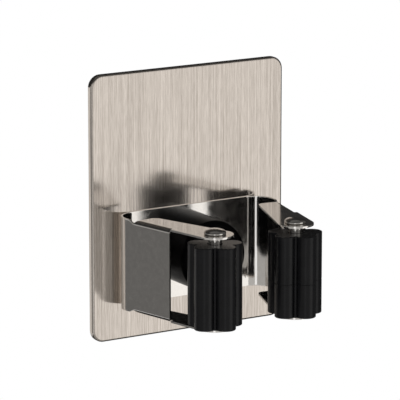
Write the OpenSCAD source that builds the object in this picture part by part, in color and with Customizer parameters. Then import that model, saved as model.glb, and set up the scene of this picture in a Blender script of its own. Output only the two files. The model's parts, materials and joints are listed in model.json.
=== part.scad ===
// Wall clip for a mop or broom handle: a brushed plate stuck to the wall carries a
// one-piece spring clip with two rubber rollers and a rubber bumper between them.
// The wall is the plane y = 0, the room lies towards -Y and Z is up.
// The origin is the middle of the back of the plate.

/* [Wall plate] */
// Width of the plate
plate_w = 70; // [68:1:110]
// Height of the plate
plate_h = 85; // [80:1:130]
// Depth of the plate from the wall to its front face
plate_depth = 2; // [1.8:0.1:4]
// Thickness of the plate's sheet
plate_sheet = 0.8; // [0.6:0.1:1.2]
// Radius of the plate's corners, seen from the front
plate_corner_r = 4; // [3:0.5:10]
// Radius of the rolled front edge
plate_edge_r = 0.7; // [0.3:0.1:1.2]

/* [Adhesive pad] */
// Gap between the foam pad and the plate's rim
pad_gap = 0.3; // [0.1:0.1:1]
// Gap between the pad's window and the tails that stand in it
window_gap = 0.6; // [0.3:0.1:1.5]

/* [Spring clip] */
// Thickness of the clip's sheet
clip_sheet = 0.6; // [0.5:0.1:1.2]
// Height of the clip
clip_h = 29.4; // [28:0.2:40]
// Middle of the clip below the middle of the plate
clip_drop = 16.4; // [0:0.1:20]
// Outer radius of the bends between the web and the arms
bend_r = 6.5; // [5:0.5:7]
// Angle by which each arm leans inwards
arm_lean = 12.5; // [8:0.5:20]
// Distance from a bend's axis to the roller's axis, along the arm
arm_reach = 33.5; // [30:0.5:42]
// Gap between the side panel's front edge and the roller
panel_gap = 5.5; // [2:0.1:8]
// Radius of a tongue's round tip
tongue_tip_r = 5.7; // [5:0.1:7]
// Width of a tongue at its rear end
tongue_rear_w = 8; // [6:0.1:10]
// Radius of the tongue's rear inner corner
tongue_corner_r = 2.5; // [0.5:0.1:4]
// Distance from a bend's axis to the tongue's rear end at the panel
tongue_start = 4.2; // [3.6:0.1:8]
// Slant of the tongue's rear end, towards the front
tongue_slant = 0.5; // [0:0.1:2]
// Width of the upper relief notch
upper_notch_w = 2.9; // [1:0.1:3.5]
// Depth of the upper relief notch
upper_notch_depth = 1.2; // [0.9:0.1:3]
// Width of the lower relief notch
lower_notch_w = 2.6; // [1:0.1:3.5]
// Depth of the lower relief notch
lower_notch_depth = 1; // [0.9:0.1:3]
// Angle by which an arm can spring open
arm_open = 16; // [4:1:18]
// Gap in the lap where the web and an arm slide past each other
lap_gap = 0.1; // [0.04:0.01:0.15]

/* [Rollers] */
// Clear gap between the two rollers
mouth = 11.8; // [8:0.2:16]
// Number of lobes round a roller
roller_lobes = 5; // [4:1:8]
// Radius of one lobe
lobe_r = 3.2; // [2.6:0.1:4]
// Distance from the roller's axis to the middle of a lobe
lobe_pitch_r = 5.4; // [4.6:0.1:6.5]
// Radius of the roller at the floor of its grooves
groove_floor_r = 5.8; // [5.2:0.1:7]
// Turn of a roller about its axis
roller_turn = 202.7; // [0:0.1:360]
// Room above a roller, below the upper tongue
roller_play = 2.4; // [0.5:0.1:4]
// Room below a roller, above the lower tongue
roller_lift = 0.1; // [0.05:0.05:0.5]
// Running gap between a roller and its sleeve, on the radius
running_gap = 0.05; // [0.02:0.01:0.1]

/* [Roller axles] */
// Diameter of an axle rivet's shank
axle_d = 3.2; // [2.5:0.1:4]
// Wall of the steel sleeve round the shank
sleeve_wall = 0.5; // [0.4:0.05:1]
// Gap round a rivet's shank, on the radius
shank_gap = 0.05; // [0.02:0.01:0.2]
// Diameter of an axle rivet's head
axle_head_d = 6.9; // [5.5:0.1:8]
// Height of an axle rivet's head
axle_head_h = 1.8; // [0.8:0.1:2]
// Diameter of an axle rivet's formed tail
axle_tail_d = 5.6; // [4.8:0.1:7]
// Height of an axle rivet's formed tail
axle_tail_h = 0.9; // [0.5:0.1:1.5]

/* [Bumper] */
// Diameter of the bumper
bumper_d = 23.2; // [22:0.2:27]
// Length of the bumper in front of the web
bumper_l = 15.8; // [8:0.2:20]
// Radius of the bumper's front edge
bumper_edge_r = 2.4; // [0.5:0.1:4]
// Middle of the bumper above the middle of the clip
bumper_rise = 0.6; // [0:0.1:1]
// Diameter of the stem that holds the bumper in the web and the plate
stem_d = 5; // [4:0.1:5.6]
// Step of the barb at the stem's end, on the radius
barb_step = 0.8; // [0.4:0.1:1]
// Gap round the stem and behind the barb
stem_gap = 0.1; // [0.05:0.05:0.3]
// Gap between the wall and the ends of the barb and the clip rivets
tail_wall_gap = 0.3; // [0.1:0.05:0.4]

/* [Clip rivets] */
// Distance between the two rivets that hold the web to the plate
rivet_spacing = 14; // [13:0.5:16]
// Diameter of a clip rivet's shank
rivet_d = 3; // [2.4:0.1:3.4]
// Diameter of a clip rivet's head and tail
rivet_head_d = 5.4; // [4.4:0.1:5.6]
// Height of a clip rivet's head
rivet_head_h = 1; // [0.6:0.1:1.5]
// Room round the rivet heads in the back of the bumper
recess_gap = 0.4; // [0.2:0.1:0.6]

/* [Hidden] */
$fn = 96;
arc_steps = 12;
overrun = 1;

// The pad fills the plate's pan from its floor to the wall
pad_t = plate_depth - plate_sheet;
pad_inset = plate_sheet + pad_gap;
web_front = plate_depth + clip_sheet;
bumper_front = web_front + bumper_l;

clip_z = -clip_drop;
clip_top = clip_z + clip_h / 2;
clip_bottom = clip_z - clip_h / 2;
fixing_z = clip_z + bumper_rise;

// The axle seen from the bend's axis, before the arm leans
axle_offset = bend_r - tongue_tip_r;
axle_in = arm_reach * sin(arm_lean) - axle_offset * cos(arm_lean);
axle_out = arm_reach * cos(arm_lean) + axle_offset * sin(arm_lean);

roller_r = lobe_pitch_r + lobe_r;
axle_x = mouth / 2 + roller_r;
bend_x = axle_x + axle_in;
bend_y = -(plate_depth + bend_r);
axle_y = bend_y - axle_out;
panel_l = arm_reach - roller_r - panel_gap;

inner_r = bend_r - clip_sheet;
lap_outer_r = bend_r - (clip_sheet - lap_gap) / 2;
lap_inner_r = inner_r + (clip_sheet - lap_gap) / 2;
// The lap leaves this much turn free, and both leaves share the rest of the bend
lap_margin = 2;
lap_travel = arm_open + lap_margin;
lap_leaf_share = 0.46;
lap_leaf = (90 + arm_lean - lap_travel) * lap_leaf_share;

axle_r = axle_d / 2;
axle_hole_r = axle_r + shank_gap;
sleeve_r = axle_hole_r + sleeve_wall;
sleeve_bottom = clip_bottom + clip_sheet;
sleeve_l = clip_h - 2 * clip_sheet;
roller_bottom = sleeve_bottom + roller_lift;
roller_h = sleeve_l - roller_lift - roller_play;

stem_hole_r = stem_d / 2 + stem_gap;
barb_r = stem_d / 2 + barb_step;
rivet_hole_r = rivet_d / 2 + shank_gap;
window_w = 2 * (barb_r + window_gap);
window_h = rivet_spacing + rivet_head_d + 2 * window_gap;
recess_in = rivet_spacing / 2 - rivet_head_d / 2 - recess_gap;
recess_out = rivet_spacing / 2 + rivet_head_d / 2 + recess_gap;
recess_depth = rivet_head_h + recess_gap;

head_edge_share = 0.35;

steel = "#8d8a86";
bright_steel = "#c9c7c3";
brushed_steel = "#b3aaa0";
rubber = "#1c1c1e";
foam = "#4a4a4c";

// Points of an arc from angle a to angle b
function arc(x, y, r, a, b) = [for (i = [0:arc_steps])
    let (t = a + (b - a) * i / arc_steps) [x + r * cos(t), y + r * sin(t)]];

function rounded_rectangle(w, h, r) = concat(
    arc(w / 2 - r, h / 2 - r, r, 0, 90), arc(r - w / 2, h / 2 - r, r, 90, 180),
    arc(r - w / 2, r - h / 2, r, 180, 270), arc(w / 2 - r, r - h / 2, r, 270, 360));

// Turns a shape drawn as seen from the front, with z as the distance from the wall
module from_wall() {
    rotate([90, 0, 0]) children();
}

module ring(outer_r, inner_r, h) {
    difference() {
        cylinder(r = outer_r, h = h);
        translate([0, 0, -overrun]) cylinder(r = inner_r, h = h + 2 * overrun);
    }
}

// A disc whose upper edge is rounded
module button(r, h) {
    edge = h * head_edge_share;
    rotate_extrude() polygon(concat([[0, 0], [r, 0]], arc(r - edge, h - edge, edge, 0, 90), [[0, h]]));
}

// Holes for the stem and the two clip rivets, through everything on the wall side of the bumper
module fixing_holes() {
    translate([0, fixing_z, -overrun]) {
        cylinder(r = stem_hole_r, h = web_front + 2 * overrun);
        for (side = [-1, 1]) translate([0, side * rivet_spacing / 2, 0])
            cylinder(r = rivet_hole_r, h = web_front + 2 * overrun);
    }
}

// Section of the plate's rim, measured from the middle of its corner radius
module rim_section() {
    polygon(concat([[0, 0], [plate_corner_r, 0]],
        arc(plate_corner_r - plate_edge_r, plate_depth - plate_edge_r, plate_edge_r, 0, 90),
        [[0, plate_depth]]));
}

module rim_side(length) {
    rotate([90, 0, 0]) translate([0, 0, -length / 2]) linear_extrude(length) rim_section();
}

module plate_block() {
    flat_w = plate_w - 2 * plate_corner_r;
    flat_h = plate_h - 2 * plate_corner_r;
    translate([-flat_w / 2, -flat_h / 2, 0]) cube([flat_w, flat_h, plate_depth]);
    for (turn = [0, 180]) rotate(turn) {
        translate([flat_w / 2, 0, 0]) rim_side(flat_h);
        translate([0, flat_h / 2, 0]) rotate(90) rim_side(flat_w);
        translate([flat_w / 2, flat_h / 2, 0]) rotate_extrude(angle = 90) rim_section();
        translate([-flat_w / 2, flat_h / 2, 0]) rotate(90) rotate_extrude(angle = 90) rim_section();
    }
}

module wall_plate() {
    color(brushed_steel) from_wall() difference() {
        plate_block();
        translate([0, 0, -overrun]) linear_extrude(pad_t + overrun) polygon(rounded_rectangle(
            plate_w - 2 * plate_sheet, plate_h - 2 * plate_sheet, plate_corner_r - plate_sheet));
        fixing_holes();
    }
}

module adhesive_pad() {
    color(foam) from_wall() linear_extrude(pad_t) difference() {
        polygon(rounded_rectangle(plate_w - 2 * pad_inset, plate_h - 2 * pad_inset,
            plate_corner_r - pad_inset));
        translate([0, fixing_z]) polygon(rounded_rectangle(window_w, window_h, window_w / 2));
    }
}

// Outline of the web from above: a flat strip whose outer half runs on round both bends
module web_outline() {
    polygon(concat(
        arc(-bend_x, bend_y, bend_r, 90, 90 + lap_leaf), arc(-bend_x, bend_y, lap_outer_r, 90 + lap_leaf, 90),
        [[-bend_x, -web_front], [bend_x, -web_front]],
        arc(bend_x, bend_y, lap_outer_r, 90, 90 - lap_leaf), arc(bend_x, bend_y, bend_r, 90 - lap_leaf, 90)));
}

module clip_web() {
    color(bright_steel) difference() {
        translate([0, 0, clip_bottom]) linear_extrude(clip_h) web_outline();
        from_wall() fixing_holes();
    }
}

// Outline of an arm's panel from above, before the arm leans, with its inner half in the bend
module panel_outline() {
    leaf_end = 90 - arm_lean + lap_travel;
    polygon(concat(
        arc(0, 0, lap_inner_r, leaf_end, leaf_end + lap_leaf), arc(0, 0, bend_r, leaf_end + lap_leaf, 180),
        [[-bend_r, -panel_l], [-inner_r, -panel_l]], arc(0, 0, inner_r, 180, leaf_end)));
}

// Outline of a tongue before the arm leans, from the bend's axis
module tongue_outline() {
    rear_x = tongue_rear_w - bend_r;
    rear_y = -tongue_start - tongue_slant;
    // The inner edge runs from the round rear corner to the round tip as their common tangent
    corner = [rear_x - tongue_corner_r, rear_y - tongue_corner_r];
    tip = [-axle_offset, -arm_reach];
    run = tip - corner;
    edge_turn = atan2(run[1], run[0]) + 90 - asin((tongue_tip_r - tongue_corner_r) / norm(run));
    polygon(concat([[-bend_r, -tongue_start]],
        arc(corner[0], corner[1], tongue_corner_r, 90, edge_turn),
        arc(tip[0], tip[1], tongue_tip_r, edge_turn, -180)));
}

module relief_notch(w, depth, z, up) {
    middle = tongue_start - w / 2;
    translate([-bend_r - overrun, 0, 0]) rotate([90, 0, 90]) linear_extrude(clip_sheet + 2 * overrun)
        polygon([[-middle - w / 2, z], [-middle, z - up * depth], [-middle + w / 2, z],
            [-middle + w / 2, z + up * overrun], [-middle - w / 2, z + up * overrun]]);
}

// Arm of the spring clip on the left side
module arm() {
    translate([-bend_x, bend_y, 0]) rotate(arm_lean) difference() {
        union() {
            translate([0, 0, clip_bottom]) linear_extrude(clip_h) panel_outline();
            for (z = [clip_bottom, clip_top - clip_sheet]) translate([0, 0, z])
                linear_extrude(clip_sheet) tongue_outline();
        }
        relief_notch(upper_notch_w, upper_notch_depth, clip_top, 1);
        relief_notch(lower_notch_w, lower_notch_depth, clip_bottom, -1);
        translate([-axle_offset, -arm_reach, clip_bottom - overrun])
            cylinder(r = axle_hole_r, h = clip_h + 2 * overrun);
    }
}

module left_arm() {
    color(bright_steel) arm();
}

module right_arm() {
    color(bright_steel) mirror([1, 0, 0]) arm();
}

module at_axle(side) {
    translate([side * axle_x, axle_y, 0]) children();
}

module sleeve() {
    color(steel) translate([0, 0, sleeve_bottom]) ring(sleeve_r, axle_hole_r, sleeve_l);
}

module left_sleeve() {
    at_axle(-1) sleeve();
}

module right_sleeve() {
    at_axle(1) sleeve();
}

module axle_rivet() {
    color(steel) {
        translate([0, 0, clip_bottom]) cylinder(r = axle_r, h = clip_h);
        translate([0, 0, clip_top]) button(axle_head_d / 2, axle_head_h);
        translate([0, 0, clip_bottom]) mirror([0, 0, 1]) button(axle_tail_d / 2, axle_tail_h);
    }
}

module left_axle_rivet() {
    at_axle(-1) axle_rivet();
}

module right_axle_rivet() {
    at_axle(1) axle_rivet();
}

module roller() {
    color(rubber) translate([0, 0, roller_bottom]) rotate(roller_turn) linear_extrude(roller_h) difference() {
        union() {
            circle(r = groove_floor_r);
            for (lobe = [1:roller_lobes]) rotate(lobe * 360 / roller_lobes)
                translate([lobe_pitch_r, 0]) circle(r = lobe_r);
        }
        circle(r = sleeve_r + running_gap);
    }
}

module left_roller() {
    at_axle(-1) roller();
}

module right_roller() {
    at_axle(1) roller();
}

// Section of the bumper, with its stem and barb, by distance from the wall
module bumper_section() {
    r = bumper_d / 2;
    stem_r = stem_d / 2;
    barb_front = pad_t - stem_gap;
    polygon(concat([[0, tail_wall_gap], [stem_r, tail_wall_gap], [barb_r, barb_front], [stem_r, barb_front],
        [stem_r, web_front], [recess_in, web_front], [recess_in, web_front + recess_depth],
        [recess_out, web_front + recess_depth], [recess_out, web_front], [r, web_front]],
        arc(r - bumper_edge_r, bumper_front - bumper_edge_r, bumper_edge_r, 0, 90), [[0, bumper_front]]));
}

module bumper() {
    color(rubber) from_wall() translate([0, fixing_z, 0]) rotate_extrude() bumper_section();
}

module clip_rivet(side) {
    color(steel) from_wall() translate([0, fixing_z + side * rivet_spacing / 2, 0]) {
        translate([0, 0, pad_t]) cylinder(r = rivet_d / 2, h = plate_sheet + clip_sheet);
        translate([0, 0, web_front]) button(rivet_head_d / 2, rivet_head_h);
        translate([0, 0, pad_t]) mirror([0, 0, 1]) button(rivet_head_d / 2, pad_t - tail_wall_gap);
    }
}

module upper_clip_rivet() {
    clip_rivet(1);
}

module lower_clip_rivet() {
    clip_rivet(-1);
}

wall_plate();
adhesive_pad();
clip_web();
upper_clip_rivet();
lower_clip_rivet();
bumper();
left_arm();
left_sleeve();
left_axle_rivet();
left_roller();
right_arm();
right_sleeve();
right_axle_rivet();
right_roller();
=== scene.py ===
"""Looks of a wall clip for a mop or broom handle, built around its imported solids.

The wall is the plane y = 0, the room lies towards -Y and Z is up. Lengths are in metres, angles in degrees.
"""
import json
from math import asin, atan2, cos, degrees, pi, radians, sin

import bmesh
import bpy
from mathutils import Matrix, Vector


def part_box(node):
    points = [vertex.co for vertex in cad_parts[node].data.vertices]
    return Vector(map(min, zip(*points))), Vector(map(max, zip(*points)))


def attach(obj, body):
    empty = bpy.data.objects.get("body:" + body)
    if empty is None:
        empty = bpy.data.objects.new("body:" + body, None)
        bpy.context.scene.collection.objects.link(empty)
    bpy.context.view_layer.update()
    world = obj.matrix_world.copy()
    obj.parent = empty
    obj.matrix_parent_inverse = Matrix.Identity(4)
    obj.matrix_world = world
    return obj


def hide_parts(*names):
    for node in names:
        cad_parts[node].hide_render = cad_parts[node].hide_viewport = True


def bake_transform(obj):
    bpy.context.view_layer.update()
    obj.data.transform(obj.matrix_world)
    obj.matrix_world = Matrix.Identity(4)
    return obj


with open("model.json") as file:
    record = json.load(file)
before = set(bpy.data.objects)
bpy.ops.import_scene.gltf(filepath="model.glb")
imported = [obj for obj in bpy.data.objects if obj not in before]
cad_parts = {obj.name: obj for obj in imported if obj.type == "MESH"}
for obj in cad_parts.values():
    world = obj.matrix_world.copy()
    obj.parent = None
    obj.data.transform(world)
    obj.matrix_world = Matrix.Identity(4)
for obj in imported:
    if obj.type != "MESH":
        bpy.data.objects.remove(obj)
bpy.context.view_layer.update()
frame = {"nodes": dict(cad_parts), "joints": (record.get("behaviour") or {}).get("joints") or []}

MM = 0.001

# Places that the frame gives, for the right side where the part is mirrored
joints = {joint["name"]: joint for joint in frame["joints"]}
bend = Vector(joints["right_arm_flex"]["pos_m"])
axle = Vector(joints["right_roller_spin"]["pos_m"])
plate_low, plate_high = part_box("wall_plate")
pad_low, pad_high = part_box("adhesive_pad")
web_low, web_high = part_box("clip_web")
bumper_low, bumper_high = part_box("bumper")
roller_low, roller_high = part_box("right_roller")
sleeve_low, sleeve_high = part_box("right_sleeve")
rivet_low, rivet_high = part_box("right_axle_rivet")
stud_low, stud_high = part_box("upper_clip_rivet")

# Wall plate and foam pad
PLATE_SHEET = 0.8 * MM
PLATE_CORNER_R = 4 * MM
PLATE_EDGE_R = 0.75 * MM
PAD_EDGE_R = 0.3 * MM
PAD_WINDOW_GAP = 0.6 * MM
STUD_HOLE_R = 1.6 * MM

# Spring clip
CLIP_SHEET = 0.6 * MM
CLIP_EDGE_R = 0.09 * MM
ARM_LEAN = 12.5
PANEL_L = 19.4 * MM
FLANGE_R = 1.4 * MM
TONGUE_TIP_R = 5.7 * MM
TONGUE_REAR_W = 8 * MM
TONGUE_CORNER_R = 2.5 * MM
TONGUE_START = 4.2 * MM
TONGUE_SLANT = 0.5 * MM
NOTCH_START = 1.2 * MM
NOTCH_APEX = 3.1 * MM
UPPER_NOTCH_DEPTH = 1 * MM
LOWER_NOTCH_DEPTH = 0.8 * MM
RELIEF_L = 0.6 * MM
RELIEF_ANGLES = (30, 60)
AXLE_HOLE_R = 1.65 * MM

# Rollers
ROLLER_LOBES = 5
ROLLER_TURN = 202.7
LOBE_R = 3.2 * MM
LOBE_PITCH_R = 5.4 * MM
GROOVE_FLOOR_R = 5.8 * MM
ROLLER_EDGE_R = 0.25 * MM
ROLLER_BORE_GAP = 0.05 * MM
PARTING_DROP = 15 * MM
PARTING_H = 0.4 * MM
PARTING_DEPTH = 0.15 * MM

# Axle rivets and their sleeves
SHANK_R = 1.6 * MM
HEAD_EDGE_R = 0.4 * MM
TAIL_R = 2.8 * MM
SLEEVE_EDGE = 0.12 * MM

# Bumper
BUMPER_EDGE_R = 2.4 * MM
STEM_R = 2.5 * MM
BARB_R = 3.3 * MM
BARB_GAP = 0.1 * MM
RECESS_GAP = 0.4 * MM

# Smoothness of the round shapes
LATHE_STEPS = 72
CORNER_STEPS = 14
EDGE_STEPS = 7
BEND_STEPS = 28
FLANGE_STEPS = 7
CAP_STEPS = 3
CROWN_STEPS = 16
HOLE_STEPS = 36
LOBE_STEPS = 22
GROOVE_STEPS = 10
WEB_STEPS = 6
NOTCH_STEPS = 3
PANEL_STEPS = 12
PANEL_ROWS = 8
TONGUE_OUTER_STEPS = 6
TONGUE_INNER_STEPS = 10
TONGUE_REAR_STEPS = 5
SHARP_ANGLE = 40
CUT_EDGE_ANGLE = 60

# Brushing of the plate: the width of its streaks, and how many times as long they are
STREAK_W = 0.13 * MM
LONG_STREAK = 400
SHORT_STREAK = 30
SHORT_STREAK_SHARE = 0.4

# Most values of a noise lie between these two
NOISE_LOW = 0.3
NOISE_HIGH = 0.7

bend_r = plate_low.y - bend.y
clip_low, clip_high = web_low.z, web_high.z
clip_middle = (clip_low + clip_high) / 2
web_back = plate_low.y
web_front = web_back - CLIP_SHEET
plate_w = plate_high.x - plate_low.x
plate_h = plate_high.z - plate_low.z
plate_floor = pad_low.y
stud_r = (stud_high.x - stud_low.x) / 2
bumper_middle = (bumper_low.z + bumper_high.z) / 2
stud_offset = (stud_low.z + stud_high.z) / 2 - bumper_middle


# Meshes

def arc(x, y, r, a, b, steps):
    """Points of an arc from angle a to angle b."""
    turns = [radians(a + (b - a) * i / steps) for i in range(steps + 1)]
    return [(x + r * cos(t), y + r * sin(t)) for t in turns]


def spread(start, end, steps):
    """Values from start towards end, without end itself."""
    return [start + (end - start) * i / steps for i in range(steps)]


def line(start, end, steps):
    """Points from start towards end, without end itself."""
    return list(zip(*(spread(s, e, steps) for s, e in zip(start, end))))


def join(bm, columns):
    """Faces between neighbouring columns of vertices."""
    for first, second in zip(columns, columns[1:]):
        for i in range(len(first) - 1):
            bm.faces.new((first[i], second[i], second[i + 1], first[i + 1]))


def bridge(bm, ring, other):
    """Faces between two closed rings of vertices."""
    count = len(ring)
    for i in range(count):
        j = (i + 1) % count
        bm.faces.new((ring[i], ring[j], other[j], other[i]))


def fill(bm, rings, normal):
    """A flat face inside the first ring and outside the others."""
    pairs = [(ring[i - 1], ring[i]) for ring in rings for i in range(len(ring))]
    edges = [bm.edges.get(pair) or bm.edges.new(pair) for pair in pairs]
    bmesh.ops.triangle_fill(bm, use_beauty=True, edges=edges, normal=normal)


def to_object(bm, name, outwards=True):
    """The mesh as an object with smooth round faces and crisp edges."""
    if outwards:
        bmesh.ops.recalc_face_normals(bm, faces=bm.faces)
    mesh = bpy.data.meshes.new(name)
    bm.to_mesh(mesh)
    bm.free()
    mesh.shade_smooth()
    mesh.set_sharp_from_angle(angle=radians(SHARP_ANGLE))
    piece = bpy.data.objects.new(name, mesh)
    bpy.context.scene.collection.objects.link(piece)
    return piece


def apply_modifiers(piece):
    """Makes the shape that the modifiers give the piece's own mesh."""
    graph = bpy.context.evaluated_depsgraph_get()
    mesh = bpy.data.meshes.new_from_object(piece.evaluated_get(graph))
    piece.modifiers.clear()
    piece.data = mesh


def weigh_normals(piece):
    """Lets large flat faces set the shading, so that they look flat up to their rounded edges."""
    modifier = piece.modifiers.new("flat faces", "WEIGHTED_NORMAL")
    modifier.keep_sharp = True
    apply_modifiers(piece)


def lathe(name, profile, place):
    """Turns a profile of radius and height round an axis. The place function gives a point of the part."""
    bm = bmesh.new()
    rings = []
    for r, h in profile:
        count = LATHE_STEPS if r > 0 else 1
        turns = [radians(360 * i / LATHE_STEPS) for i in range(count)]
        rings.append([bm.verts.new(place(r * cos(t), r * sin(t), h)) for t in turns])
    for ring, other in zip(rings, rings[1:]):
        for i in range(LATHE_STEPS):
            j = (i + 1) % LATHE_STEPS
            corners = [ring[i % len(ring)], ring[j % len(ring)], other[j % len(other)], other[i % len(other)]]
            bm.faces.new(list(dict.fromkeys(corners)))
    piece = to_object(bm, name)
    weigh_normals(piece)
    return piece


def rounded_rectangle(w, h, r):
    """Outline of a rectangle with round corners."""
    x, y = w / 2 - r, h / 2 - r
    corners = ((x, y, 0), (-x, y, 90), (-x, -y, 180), (x, -y, 270))
    return [point for cx, cy, a in corners for point in arc(cx, cy, r, a, a + 90, CORNER_STEPS)]


def round_ended(w, h):
    """Outline of a tall window whose ends are half circles."""
    r, top = w / 2, (h - w) / 2
    return [*arc(0, top, r, 0, 180, 2 * CORNER_STEPS), *arc(0, -top, r, 180, 360, 2 * CORNER_STEPS)]


def wall_ring(bm, points, y, middle_z=0.0):
    """Vertices on a plane at a distance from the wall."""
    return [bm.verts.new((x, y, middle_z + z)) for x, z in points]


def add_uv(piece, size):
    """A flat map seen from the front, for the direction of the brushing."""
    layer = piece.data.uv_layers.new(name="front")
    for loop in piece.data.loops:
        place = piece.data.vertices[loop.vertex_index].co
        layer.data[loop.index].uv = (place.x / size, place.z / size)


def fixing_rings(bm, y):
    """Rings of the holes for the bumper's stem and the two studs."""
    holes = ((STEM_R + BARB_GAP, bumper_middle), (STUD_HOLE_R, bumper_middle + stud_offset),
             (STUD_HOLE_R, bumper_middle - stud_offset))
    return [wall_ring(bm, arc(0, 0, r, 0, 360, 2 * CORNER_STEPS)[:-1], y, z) for r, z in holes]


def build_plate():
    """A shallow pan of sheet steel with a rolled front edge, open towards the wall."""
    bm = bmesh.new()

    def ring(inset, y):
        w, h = plate_w - 2 * inset, plate_h - 2 * inset
        return wall_ring(bm, rounded_rectangle(w, h, PLATE_CORNER_R - inset), y)

    edge = arc(PLATE_EDGE_R, plate_low.y + PLATE_EDGE_R, PLATE_EDGE_R, 180, 270, EDGE_STEPS)
    sections = [(PLATE_SHEET, plate_floor), (PLATE_SHEET, plate_high.y), (0.0, plate_high.y), *edge]
    rings = [ring(inset, y) for inset, y in sections]
    for first, second in zip(rings, rings[1:]):
        bridge(bm, first, second)
    front_holes = fixing_rings(bm, plate_low.y)
    rear_holes = fixing_rings(bm, plate_floor)
    fill(bm, [rings[-1], *front_holes], (0, -1, 0))
    fill(bm, [rings[0], *rear_holes], (0, 1, 0))
    for front, rear in zip(front_holes, rear_holes):
        bridge(bm, front, rear)
    piece = to_object(bm, "plate_shell")
    add_uv(piece, plate_h)
    weigh_normals(piece)
    return piece


def build_pad():
    """Foam pad with soft edges and a window for the ends of the stem and the studs."""
    bm = bmesh.new()
    pad_w, pad_h = pad_high.x - pad_low.x, pad_high.z - pad_low.z
    corner_r = PLATE_CORNER_R - (plate_w - pad_w) / 2
    window_r = BARB_R + PAD_WINDOW_GAP
    window_h = 2 * (stud_offset + stud_r + PAD_WINDOW_GAP)

    def ring(inset, y):
        return wall_ring(bm, rounded_rectangle(pad_w - 2 * inset, pad_h - 2 * inset, corner_r - inset), y)

    def window(grow, y):
        return wall_ring(bm, round_ended(2 * (window_r + grow), window_h + 2 * grow), y, bumper_middle)

    edge = arc(PAD_EDGE_R, pad_high.y - PAD_EDGE_R, PAD_EDGE_R, 180, 90, EDGE_STEPS)
    sections = [(0.0, pad_low.y), *edge]
    outer = [ring(inset, y) for inset, y in sections]
    inner = [window(inset, y) for inset, y in sections]
    for rings in (outer, inner):
        for first, second in zip(rings, rings[1:]):
            bridge(bm, first, second)
    fill(bm, [outer[0], inner[0]], (0, -1, 0))
    fill(bm, [outer[-1], inner[-1]], (0, 1, 0))
    piece = to_object(bm, "foam_pad")
    weigh_normals(piece)
    return piece


def leaned(x, y):
    """Plan place of a point of the left arm, given from the bend's axis before the arm leans."""
    c, s = cos(radians(ARM_LEAN)), sin(radians(ARM_LEAN))
    return -bend.x + x * c - y * s, bend.y + x * s + y * c


def upright(x, y):
    """The reverse of leaned."""
    c, s = cos(radians(ARM_LEAN)), sin(radians(ARM_LEAN))
    dx, dy = x + bend.x, y - bend.y
    return dx * c + dy * s, dy * c - dx * s


def notch_cut(y, depth):
    """How far a relief notch cuts into the sheet's edge at a distance along the panel, up to its apex."""
    return depth * max(0.0, min(1.0, (y - NOTCH_START) / (NOTCH_APEX - NOTCH_START)))


def flange_angles(depth):
    """Turns of the flange's bend: first up to the height of the notch's apex, then up to the flat tongue."""
    apex = degrees(asin(1 - depth / FLANGE_R))
    lower = [apex * i / CAP_STEPS for i in range(1, CAP_STEPS + 1)]
    upper = [apex + (90 - apex) * i / FLANGE_STEPS for i in range(1, FLANGE_STEPS + 1)]
    return lower, upper


def tongue_edge():
    """Outline of a tongue from the front of the panel round its tip to the flange's rear end."""
    tip = upright(-axle.x, axle.y)
    corner = (TONGUE_REAR_W - bend_r - TONGUE_CORNER_R, -TONGUE_START - TONGUE_SLANT - TONGUE_CORNER_R)
    run = (tip[0] - corner[0], tip[1] - corner[1])
    length = (run[0] ** 2 + run[1] ** 2) ** 0.5
    turn = degrees(atan2(run[1], run[0])) + 90 - degrees(asin((TONGUE_TIP_R - TONGUE_CORNER_R) / length))
    relief = [(-bend_r + FLANGE_R * cos(radians(a)), -PANEL_L - RELIEF_L * sin(radians(a)))
              for a in RELIEF_ANGLES]
    tip_arc = arc(*tip, TONGUE_TIP_R, -180, turn, 2 * LOBE_STEPS)
    corner_arc = arc(*corner, TONGUE_CORNER_R, turn, 90, CORNER_STEPS)
    outer = line((-bend_r, -PANEL_L - RELIEF_L), tip_arc[0], TONGUE_OUTER_STEPS)
    inner = line(tip_arc[-1], corner_arc[0], TONGUE_INNER_STEPS)
    rear = line(corner_arc[-1], flange_rear(90, UPPER_NOTCH_DEPTH), TONGUE_REAR_STEPS)
    return [*relief, *outer, *tip_arc[:-1], *inner, *corner_arc[:-1], *rear]


def flange_rear(angle, depth):
    """Rear end of the flange in plan: it slants from the notch's apex to the tongue's rear edge."""
    x = FLANGE_R * (1 - cos(radians(angle)))
    rise = max(0.0, 1 - FLANGE_R * (1 - sin(radians(angle))) / depth)
    rear = TONGUE_START + TONGUE_SLANT * x / (TONGUE_REAR_W - TONGUE_CORNER_R)
    return x - bend_r, -NOTCH_APEX - (rear - NOTCH_APEX) * rise


def sheet_column(vertex, plan, low_cut, high_cut):
    """Vertices from the lower edge to the upper edge. Its ends are as long as the flanges' bends."""
    low, high = clip_low + FLANGE_R, clip_high - FLANGE_R
    lower_edge, upper_edge = clip_low + low_cut, clip_high - high_cut
    heights = spread(lower_edge, low, CAP_STEPS) + spread(low, high, PANEL_ROWS)
    heights += spread(high, upper_edge, CAP_STEPS) + [upper_edge]
    return [vertex(plan, z) for z in heights]


def panel_column(vertex, y):
    """Vertices of the panel between its flanges, at a distance from the bend's axis."""
    low, high = clip_low + FLANGE_R, clip_high - FLANGE_R
    return [vertex(leaned(-bend_r, -y), z) for z in spread(low, high, PANEL_ROWS) + [high]]


def flange_row(vertex, panel_places, angle, edge_z, up, depth):
    """Vertices along a flange at one turn of its bend."""
    x, rear = flange_rear(angle, depth)
    z = edge_z + up * FLANGE_R * (sin(radians(angle)) - 1)
    shares = [(y - NOTCH_APEX) / (PANEL_L - NOTCH_APEX) for y in panel_places]
    return [vertex(leaned(x, rear + (-PANEL_L - rear) * share), z) for share in shares]


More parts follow.
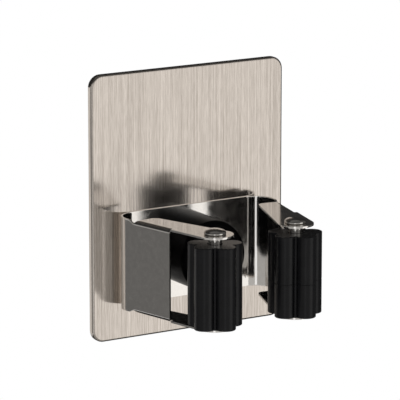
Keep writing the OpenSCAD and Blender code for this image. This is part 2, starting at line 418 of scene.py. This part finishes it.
def add_flange(bm, vertex, panel_places, panel_edge, edge_z, up, depth):
    """The bend along an edge of the panel and the tongue beyond it. Gives the bend's end at the notch."""
    lower, upper = flange_angles(depth)
    rows = [panel_edge]
    for angle in lower + upper:
        rows.append(flange_row(vertex, panel_places, angle, edge_z, up, depth))
    join(bm, rows)
    outline = rows[-1] + [vertex(leaned(*place), edge_z) for place in tongue_edge()]
    hole = arc(*upright(-axle.x, axle.y), AXLE_HOLE_R, 0, 360, HOLE_STEPS)[:-1]
    fill(bm, [outline, [vertex(leaned(*place), edge_z) for place in hole]], (0, 0, up))
    return [row[0] for row in rows[1:CAP_STEPS + 1]]


def face_wall(bm):
    """Turns all faces the same way, with those of the web towards the wall."""
    bmesh.ops.recalc_face_normals(bm, faces=bm.faces)
    web_face = min(bm.faces, key=lambda face: abs(face.calc_center_median().x))
    if web_face.normal.y < 0:
        bmesh.ops.reverse_faces(bm, faces=bm.faces)


def clip_surface(side):
    """Outer face of one half of the clip: half of the web, the bend, the panel, its flanges and tongues."""
    bm = bmesh.new()

    def vertex(plan, z):
        return bm.verts.new((-side * plan[0], plan[1], z))

    plans = line((0.0, web_back), (-bend.x, web_back), WEB_STEPS)
    plans += arc(-bend.x, bend.y, bend_r, 90, 180 + ARM_LEAN, BEND_STEPS)
    columns = [sheet_column(vertex, plan, 0.0, 0.0) for plan in plans]
    for y in spread(NOTCH_START, NOTCH_APEX, NOTCH_STEPS):
        low_cut, high_cut = notch_cut(y, LOWER_NOTCH_DEPTH), notch_cut(y, UPPER_NOTCH_DEPTH)
        columns.append(sheet_column(vertex, leaned(-bend_r, -y), low_cut, high_cut))

    places = spread(NOTCH_APEX, PANEL_L, PANEL_STEPS) + [PANEL_L]
    panel = [panel_column(vertex, y) for y in places]
    upper_edge = [column[-1] for column in panel]
    lower_edge = [column[0] for column in panel]
    upper_end = add_flange(bm, vertex, places, upper_edge, clip_high, 1, UPPER_NOTCH_DEPTH)
    lower_end = add_flange(bm, vertex, places, lower_edge, clip_low, -1, LOWER_NOTCH_DEPTH)
    columns.append(lower_end[::-1] + panel[0] + upper_end)
    join(bm, columns)
    join(bm, panel)
    face_wall(bm)
    return bm


def build_clip_half(name, side):
    """One half of the clip as a sheet with rounded cut edges. The halves meet behind the bumper."""
    piece = to_object(clip_surface(side), name, outwards=False)
    sheet = piece.modifiers.new("sheet", "SOLIDIFY")
    sheet.thickness = CLIP_SHEET
    sheet.offset = -1
    sheet.use_even_offset = True
    apply_modifiers(piece)
    bm = bmesh.new()
    bm.from_mesh(piece.data)
    on_seam = CLIP_SHEET / 100
    off_seam = [edge for edge in bm.edges if any(abs(v.co.x) > on_seam for v in edge.verts)]
    folds = [edge for edge in off_seam if len(edge.link_faces) == 2]
    cut = [edge for edge in folds if edge.calc_face_angle() > radians(CUT_EDGE_ANGLE)]
    bmesh.ops.bevel(bm, geom=cut, offset=CLIP_EDGE_R, offset_type="OFFSET", segments=2, profile=0.5,
                    affect="EDGES", clamp_overlap=True)
    bm.to_mesh(piece.data)
    bm.free()
    piece.data.shade_smooth()
    piece.data.set_sharp_from_angle(angle=radians(SHARP_ANGLE))
    weigh_normals(piece)
    return piece


def lobed_outline(inset):
    """Outline of a roller: round lobes, with grooves whose round floors run into the lobes."""
    half = radians(180 / ROLLER_LOBES)
    along = LOBE_PITCH_R * cos(half)
    groove_r = ((LOBE_PITCH_R ** 2 + GROOVE_FLOOR_R ** 2 - 2 * GROOVE_FLOOR_R * along - LOBE_R ** 2)
                / (2 * (LOBE_R - GROOVE_FLOOR_R + along)))
    groove_at = GROOVE_FLOOR_R + groove_r
    meet = degrees(atan2(groove_at * sin(half), groove_at * cos(half) - LOBE_PITCH_R))
    points = []
    for lobe in range(ROLLER_LOBES):
        turn = ROLLER_TURN + lobe * 360 / ROLLER_LOBES
        x, y = LOBE_PITCH_R * cos(radians(turn)), LOBE_PITCH_R * sin(radians(turn))
        points += arc(x, y, LOBE_R - inset, turn - meet, turn + meet, LOBE_STEPS)
        groove = turn + degrees(half)
        x, y = groove_at * cos(radians(groove)), groove_at * sin(radians(groove))
        inwards, sweep = groove + 180, 180 - meet + degrees(half)
        points += arc(x, y, groove_r + inset, inwards + sweep, inwards - sweep, GROOVE_STEPS)[1:-1]
    return points


def build_roller(name, side, parting):
    """A lobed rubber roller with rounded rims, and a fine parting line if it shows one."""
    bm = bmesh.new()
    low, high = roller_low.z, roller_high.z
    bore_r = (sleeve_high.x - sleeve_low.x) / 2 + ROLLER_BORE_GAP
    rim = arc(ROLLER_EDGE_R, 0, ROLLER_EDGE_R, 90, 180, EDGE_STEPS)
    sections = [(inset, low + ROLLER_EDGE_R - h) for inset, h in rim]
    if parting:
        middle = high - PARTING_DROP
        sections += [(0.0, middle - PARTING_H / 2), (PARTING_DEPTH, middle), (0.0, middle + PARTING_H / 2)]
    sections += [(inset, high - ROLLER_EDGE_R + h) for inset, h in reversed(rim)]

    def ring(points, z):
        return [bm.verts.new((side * axle.x + x, axle.y + y, z)) for x, y in points]

    def bore(r, z):
        turns = [atan2(y, x) for x, y in lobed_outline(0.0)]
        return ring([(r * cos(t), r * sin(t)) for t in turns], z)

    rings = [bore(bore_r, low + ROLLER_EDGE_R), bore(bore_r + ROLLER_EDGE_R, low)]
    rings += [ring(lobed_outline(inset), z) for inset, z in sections]
    rings += [bore(bore_r + ROLLER_EDGE_R, high), bore(bore_r, high - ROLLER_EDGE_R)]
    for first, second in zip(rings, rings[1:] + rings[:1]):
        bridge(bm, first, second)
    piece = to_object(bm, name)
    weigh_normals(piece)
    return piece


def upright_at(side):
    """Places a turned shape on the axle of one side."""
    return lambda x, y, h: (side * axle.x + x, axle.y + y, h)


def build_axle_rivet(name, side):
    """A rivet with a round head whose foot is tucked in, and a round formed tail."""
    head_r = (rivet_high.x - rivet_low.x) / 2
    crown_h = rivet_high.z - clip_high - HEAD_EDGE_R
    tail_h = clip_low - rivet_low.z
    rim_z = clip_high + HEAD_EDGE_R
    crown = [(head_r * c, rim_z + crown_h * s) for c, s in arc(0, 0, 1, 90, 0, CROWN_STEPS)]
    foot = arc(head_r - HEAD_EDGE_R, rim_z, HEAD_EDGE_R, 0, -90, EDGE_STEPS)
    tail = [(TAIL_R * c, clip_low + tail_h * s) for c, s in arc(0, 0, 1, 0, -90, CROWN_STEPS)]
    shank = [(SHANK_R, clip_high), (SHANK_R, clip_low)]
    profile = [(0.0, rivet_high.z), *crown[1:], *foot[1:], *shank, *tail[:-1], (0.0, rivet_low.z)]
    return lathe(name, profile, upright_at(side))


def build_sleeve(name, side):
    """A turned spacer tube with broken edges."""
    r = (sleeve_high.x - sleeve_low.x) / 2
    low, high = sleeve_low.z, sleeve_high.z
    outline = [(AXLE_HOLE_R, low), (r - SLEEVE_EDGE, low), (r, low + SLEEVE_EDGE), (r, high - SLEEVE_EDGE),
               (r - SLEEVE_EDGE, high), (AXLE_HOLE_R, high), (AXLE_HOLE_R, low)]
    return lathe(name, outline, upright_at(side))


def build_bumper():
    """Rubber bumper with a rounded front, a groove for the studs' heads and a barbed stem."""
    r = (bumper_high.x - bumper_low.x) / 2
    front = -bumper_low.y
    barb_front = -plate_floor - BARB_GAP
    groove_in, groove_out = stud_offset - stud_r - RECESS_GAP, stud_offset + stud_r + RECESS_GAP
    groove_end = -stud_low.y + RECESS_GAP
    back = -web_front
    edge = arc(r - BUMPER_EDGE_R, front - BUMPER_EDGE_R, BUMPER_EDGE_R, 0, 90, 2 * EDGE_STEPS)
    stem_end = -bumper_high.y
    stem = [(0.0, stem_end), (STEM_R, stem_end), (BARB_R, barb_front), (STEM_R, barb_front), (STEM_R, back)]
    groove = [(groove_in, back), (groove_in, groove_end), (groove_out, groove_end), (groove_out, back)]
    profile = [*stem, *groove, (r, back), *edge, (0.0, front)]
    return lathe("bumper_rubber", profile, lambda x, z, h: (x, -h, bumper_middle + z))


# Materials

def new_material(name, colour, metallic, roughness):
    """A material with its shader."""
    made = bpy.data.materials.new(name)
    made.use_nodes = True
    shader = made.node_tree.nodes["Principled BSDF"]
    shader.inputs["Base Color"].default_value = (*colour, 1)
    shader.inputs["Metallic"].default_value = metallic
    shader.inputs["Roughness"].default_value = roughness
    return made, shader


def add_noise(made, scale, detail, stretch=(1, 1, 1)):
    """A noise whose grains have a size along each axis of the part."""
    nodes, links = made.node_tree.nodes, made.node_tree.links
    place = nodes.new("ShaderNodeTexCoord")
    mapping = nodes.new("ShaderNodeMapping")
    mapping.inputs["Scale"].default_value = [scale / s for s in stretch]
    noise = nodes.new("ShaderNodeTexNoise")
    noise.inputs["Scale"].default_value = 1
    noise.inputs["Detail"].default_value = detail
    links.new(place.outputs["Object"], mapping.inputs["Vector"])
    links.new(mapping.outputs["Vector"], noise.inputs["Vector"])
    return noise.outputs["Fac"]


def mix_noise(made, first, second, second_share):
    """A mix of two noises."""
    mix = made.node_tree.nodes.new("ShaderNodeMix")
    mix.inputs[0].default_value = second_share
    made.node_tree.links.new(first, mix.inputs[2])
    made.node_tree.links.new(second, mix.inputs[3])
    return mix.outputs[0]


def vary_colour(made, shader, noise, dark, light):
    """Lets the colour go from dark to light with a noise."""
    ramp = made.node_tree.nodes.new("ShaderNodeValToRGB")
    ramp.color_ramp.elements[0].position = NOISE_LOW
    ramp.color_ramp.elements[1].position = NOISE_HIGH
    ramp.color_ramp.elements[0].color = (*dark, 1)
    ramp.color_ramp.elements[1].color = (*light, 1)
    made.node_tree.links.new(noise, ramp.inputs["Fac"])
    made.node_tree.links.new(ramp.outputs["Color"], shader.inputs["Base Color"])


def vary_roughness(made, shader, noise, low, high):
    """Lets the roughness go from low to high with a noise."""
    scale = made.node_tree.nodes.new("ShaderNodeMapRange")
    scale.inputs["From Min"].default_value = NOISE_LOW
    scale.inputs["From Max"].default_value = NOISE_HIGH
    scale.inputs["To Min"].default_value = low
    scale.inputs["To Max"].default_value = high
    made.node_tree.links.new(noise, scale.inputs["Value"])
    made.node_tree.links.new(scale.outputs["Result"], shader.inputs["Roughness"])


def add_bump(made, shader, noise, strength, height):
    """Lets a noise raise and lower the surface a little."""
    bump = made.node_tree.nodes.new("ShaderNodeBump")
    bump.inputs["Strength"].default_value = strength
    bump.inputs["Distance"].default_value = height
    made.node_tree.links.new(noise, bump.inputs["Height"])
    made.node_tree.links.new(bump.outputs["Normal"], shader.inputs["Normal"])


def brushed_steel():
    """Warm steel brushed upright: fine streaks, and reflections that smear sideways."""
    made, shader = new_material("brushed_plate", (0.6, 0.55, 0.5), 1, 0.2)
    long_streaks = add_noise(made, 1 / STREAK_W, 1, (1, 1, LONG_STREAK))
    short_streaks = add_noise(made, 1 / STREAK_W, 1, (1, 1, SHORT_STREAK))
    streaks = mix_noise(made, long_streaks, short_streaks, SHORT_STREAK_SHARE)
    vary_colour(made, shader, streaks, (0.395, 0.354, 0.317), (0.785, 0.722, 0.667))
    vary_roughness(made, shader, add_noise(made, 1 / (0.4 * MM), 2, (1, 1, 60)), 0.12, 0.16)
    shader.inputs["Anisotropic"].default_value = 0.5
    tangent = made.node_tree.nodes.new("ShaderNodeTangent")
    tangent.direction_type = "UV_MAP"
    tangent.uv_map = "front"
    made.node_tree.links.new(tangent.outputs["Tangent"], shader.inputs["Tangent"])
    return made


def polished_steel(name, colour, roughness, grain, stretch=(1, 1, 1)):
    """Mirror steel with faint polishing haze."""
    made, shader = new_material(name, colour, 1, roughness)
    haze = add_noise(made, 1 / grain, 4, stretch)
    vary_colour(made, shader, haze, [0.94 * c for c in colour], colour)
    vary_roughness(made, shader, haze, 0.7 * roughness, 1.3 * roughness)
    waves = add_noise(made, 1 / (9 * MM), 1)
    add_bump(made, shader, waves, strength=0.12, height=0.05 * MM)
    return made


def rubber(name, dark, light, roughness, shine):
    """Moulded rubber: black, satin, with a fine grain."""
    made, shader = new_material(name, dark, 0, roughness)
    grain = add_noise(made, 1 / (0.25 * MM), 3)
    vary_colour(made, shader, add_noise(made, 1 / (4 * MM), 4), dark, light)
    vary_roughness(made, shader, grain, 0.9 * roughness, 1.15 * roughness)
    add_bump(made, shader, grain, strength=0.25, height=0.02 * MM)
    shader.inputs["Specular IOR Level"].default_value = shine
    return made


def foam():
    """Grey closed-cell foam."""
    made, shader = new_material("adhesive_foam", (0.1, 0.1, 0.105), 0, 0.9)
    cells = add_noise(made, 1 / (0.35 * MM), 3)
    vary_colour(made, shader, cells, (0.075, 0.075, 0.08), (0.14, 0.14, 0.145))
    add_bump(made, shader, cells, strength=0.6, height=0.06 * MM)
    shader.inputs["Specular IOR Level"].default_value = 0.2
    return made


plate_steel = brushed_steel()
clip_steel = polished_steel("polished_clip", colour=(0.9, 0.875, 0.845), roughness=0.115, grain=1.6 * MM)
rivet_steel = polished_steel("rivet_steel", colour=(0.72, 0.7, 0.67), roughness=0.12, grain=0.6 * MM)
sleeve_steel = polished_steel("sleeve_steel", colour=(0.74, 0.72, 0.69), roughness=0.1, grain=0.3 * MM,
                              stretch=(8, 8, 1))
roller_rubber = rubber("roller_rubber", dark=(0.006, 0.006, 0.0068), light=(0.0085, 0.0085, 0.0095),
                       roughness=0.28, shine=0.21)
bumper_rubber = rubber("bumper_rubber", dark=(0.0012, 0.0012, 0.0014), light=(0.0022, 0.0022, 0.0025),
                       roughness=0.3, shine=0.04)
pad_foam = foam()


# Pieces of the object

def dress(piece, material, slot, *nodes):
    """Gives a piece its material and hides the solids that it stands for. The slot is not used."""
    piece.data.materials.clear()
    piece.data.materials.append(material)
    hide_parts(*nodes)
    return piece


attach(dress(build_plate(), plate_steel, "brushed_plate", "wall_plate"), "base")
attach(dress(build_pad(), pad_foam, "adhesive_foam", "adhesive_pad"), "base")
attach(dress(build_bumper(), bumper_rubber, "bumper_rubber", "bumper"), "base")
for node in ("upper_clip_rivet", "lower_clip_rivet"):
    stud = frame["nodes"][node]
    stud.data.materials.clear()
    stud.data.materials.append(rivet_steel)

for side, name in ((-1, "left"), (1, "right")):
    arm = name + "_arm"
    half = dress(build_clip_half(name + "_clip_half", side), clip_steel, "polished_clip", arm, "clip_web")
    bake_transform(half)
    rivet = dress(build_axle_rivet(name + "_axle", side), rivet_steel, "rivet_steel", name + "_axle_rivet")
    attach(rivet, arm)
    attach(dress(build_sleeve(name + "_spacer", side), sleeve_steel, "sleeve_steel", name + "_sleeve"), arm)
    lobed = build_roller(name + "_lobed_roller", side, parting=name == "right")
    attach(dress(lobed, roller_rubber, "roller_rubber", name + "_roller"), name + "_roller")


# Stage

FLOOR_Z = -0.26
FLOOR_R = 0.42
WORLD_DIFFUSE = 0.72
FLAG_DISTANCE = 0.9
LOW_FLAG_DISTANCE = 0.22
FLAG_STEPS = 16
BLACK, DARK, GREY, PALE, LIGHT, BRIGHT = 0.03, 0.09, 0.13, 0.38, 0.47, 0.8
SOFTBOX, UPPER_SOFTBOX, RIM_SOFTBOX = 1.02, 0.78, 1.1
TOP_BOX_FROM_CLIP = Vector((0.38, -0.17, 0.62))
TOP_BOX_W = 0.3
TOP_BOX_RADIANCE = 2.5

clip_centre = Vector((0, bend.y, clip_middle))


def direction(azimuth, elevation):
    """Unit vector from the clip. Azimuth 0 is the front, and it grows towards +X."""
    az, el = radians(azimuth), radians(elevation)
    return Vector((sin(az) * cos(el), -cos(az) * cos(el), sin(el)))


def plain_material(name, colour):
    """A matt colour with a faint mottle, for the stage."""
    made, shader = new_material(name, colour, 0, 1)
    vary_colour(made, shader, add_noise(made, 25, 2), [0.97 * c for c in colour], colour)
    shader.inputs["Specular IOR Level"].default_value = 0
    return made


def stage_flag(name, grey, azimuths, elevations, distance=FLAG_DISTANCE):
    """A grey flag on a sphere round the clip, which only reflections show."""
    bm = bmesh.new()
    columns = []
    for azimuth in spread(*azimuths, FLAG_STEPS) + [azimuths[1]]:
        turns = spread(*elevations, FLAG_STEPS) + [elevations[1]]
        places = [clip_centre + distance * direction(azimuth, elevation) for elevation in turns]
        columns.append([bm.verts.new(place) for place in places])
    join(bm, columns)
    flag = to_object(bm, name, outwards=False)
    made, shader = new_material(name, (0, 0, 0), 0, 1)
    shader.inputs["Specular IOR Level"].default_value = 0
    shader.inputs["Emission Color"].default_value = (grey, 0.98 * grey, 0.95 * grey, 1)
    shader.inputs["Emission Strength"].default_value = 1
    flag.data.materials.append(made)
    flag.visible_camera = False
    flag.visible_diffuse = False
    flag.visible_shadow = False


def soft_light(name, centre, target, w, h, radiance):
    """A rectangular soft box whose surface has that radiance. Reflections don't show it."""
    light = bpy.data.lights.new(name, "AREA")
    light.shape = "RECTANGLE"
    light.size, light.size_y = w, h
    light.energy = pi * radiance * w * h
    lamp = bpy.data.objects.new(name, light)
    bpy.context.scene.collection.objects.link(lamp)
    lamp.location = centre
    lamp.visible_glossy = False
    lamp.rotation_euler = (target - centre).to_track_quat("-Z", "Y").to_euler()


def build_floor():
    """A pale disc below the part."""
    bm = bmesh.new()
    bmesh.ops.create_circle(bm, cap_ends=True, segments=LATHE_STEPS, radius=FLOOR_R)
    floor = to_object(bm, "floor", outwards=False)
    floor.location.z = FLOOR_Z
    floor.data.materials.append(plain_material("pale_floor", (0.86, 0.86, 0.86)))


def build_world():
    """White to the camera and in reflections, a little lower as light."""
    world = bpy.data.worlds.new("studio")
    bpy.context.scene.world = world
    world.use_nodes = True
    nodes, links = world.node_tree.nodes, world.node_tree.links
    nodes.clear()
    path = nodes.new("ShaderNodeLightPath")
    seen = path.outputs["Is Camera Ray"]
    for ray in ("Is Glossy Ray", "Is Transmission Ray"):
        either = nodes.new("ShaderNodeMath")
        either.operation = "MAXIMUM"
        links.new(seen, either.inputs[0])
        links.new(path.outputs[ray], either.inputs[1])
        seen = either.outputs[0]
    light = nodes.new("ShaderNodeBackground")
    light.inputs["Color"].default_value = (1, 1, 1, 1)
    light.inputs["Strength"].default_value = WORLD_DIFFUSE
    white = nodes.new("ShaderNodeBackground")
    white.inputs["Color"].default_value = (1, 1, 1, 1)
    white.inputs["Strength"].default_value = 1
    mix = nodes.new("ShaderNodeMixShader")
    output = nodes.new("ShaderNodeOutputWorld")
    links.new(seen, mix.inputs["Fac"])
    links.new(light.outputs["Background"], mix.inputs[1])
    links.new(white.outputs["Background"], mix.inputs[2])
    links.new(mix.outputs["Shader"], output.inputs["Surface"])


build_floor()
build_world()
stage_flag("rear_flag", BLACK, (100, 220), (-1.5, 62))
stage_flag("rear_left_flag", BLACK, (220, 260), (7, 62))
stage_flag("rear_top_flag", GREY, (100, 260), (62, 90))
stage_flag("flange_flag", PALE, (226, 260), (-8, 7))
stage_flag("panel_flag", GREY, (226, 260), (-36, -8))
stage_flag("edge_flag", BRIGHT, (187.5, 226), (-36, -3))
stage_flag("shade_flag", BLACK, (100, 187.5), (-36, -1.5))
stage_flag("low_flag", BLACK, (40, 260), (-88, -36), LOW_FLAG_DISTANCE)
stage_flag("low_front_flag", PALE, (-100, 40), (-88, -36), LOW_FLAG_DISTANCE)
stage_flag("left_top_flag", DARK, (-100, 27), (24, 90))
stage_flag("right_top_flag", DARK, (27, 48), (28, 90))
stage_flag("far_top_flag", DARK, (48, 100), (24, 90))
stage_flag("left_flag", PALE, (-100, -40), (-36, 24))
stage_flag("front_flag", LIGHT, (-28, 15), (-36, 24))
stage_flag("softbox", SOFTBOX, (15, 48), (-36, 3))
stage_flag("upper_softbox", UPPER_SOFTBOX, (15, 48), (3, 18))
stage_flag("rim_softbox", RIM_SOFTBOX, (27, 48), (18, 28))
stage_flag("right_flag", DARK, (48, 100), (-36, 24))
soft_light("top_box", clip_centre + TOP_BOX_FROM_CLIP, clip_centre, TOP_BOX_W, TOP_BOX_W, TOP_BOX_RADIANCE)


# Camera at the photograph's place, fitted to the plate's edges

IMAGE_PX = 400
PLATE_CENTRE_PX = (188.74, 198.63)
CAMERA_AZIMUTH = -31.33
CAMERA_ELEVATION = 12.71
CAMERA_DISTANCE = 971.5 * MM
LENS_MM = 277.1
SENSOR_MM = 36


def build_camera():
    """Puts the plate's middle at its place in the picture by moving the camera, without shift."""
    back = direction(CAMERA_AZIMUTH, CAMERA_ELEVATION)
    right = (-back).cross(Vector((0, 0, 1))).normalized()
    up = back.cross(right)
    metres_per_px = CAMERA_DISTANCE * SENSOR_MM / LENS_MM / IMAGE_PX
    across = (PLATE_CENTRE_PX[0] - IMAGE_PX / 2) * metres_per_px
    above = (IMAGE_PX / 2 - PLATE_CENTRE_PX[1]) * metres_per_px
    plate_centre = Vector((0, plate_low.y, 0))
    place = plate_centre + CAMERA_DISTANCE * back - across * right - above * up
    data = bpy.data.cameras.new("camera")
    data.lens = LENS_MM
    data.sensor_width = SENSOR_MM
    camera = bpy.data.objects.new("camera", data)
    bpy.context.scene.collection.objects.link(camera)
    turn = Matrix((right, up, back)).transposed().to_4x4()
    camera.matrix_world = Matrix.Translation(place) @ turn
    bpy.context.scene.camera = camera


build_camera()
bpy.context.scene.view_settings.view_transform = "Standard"
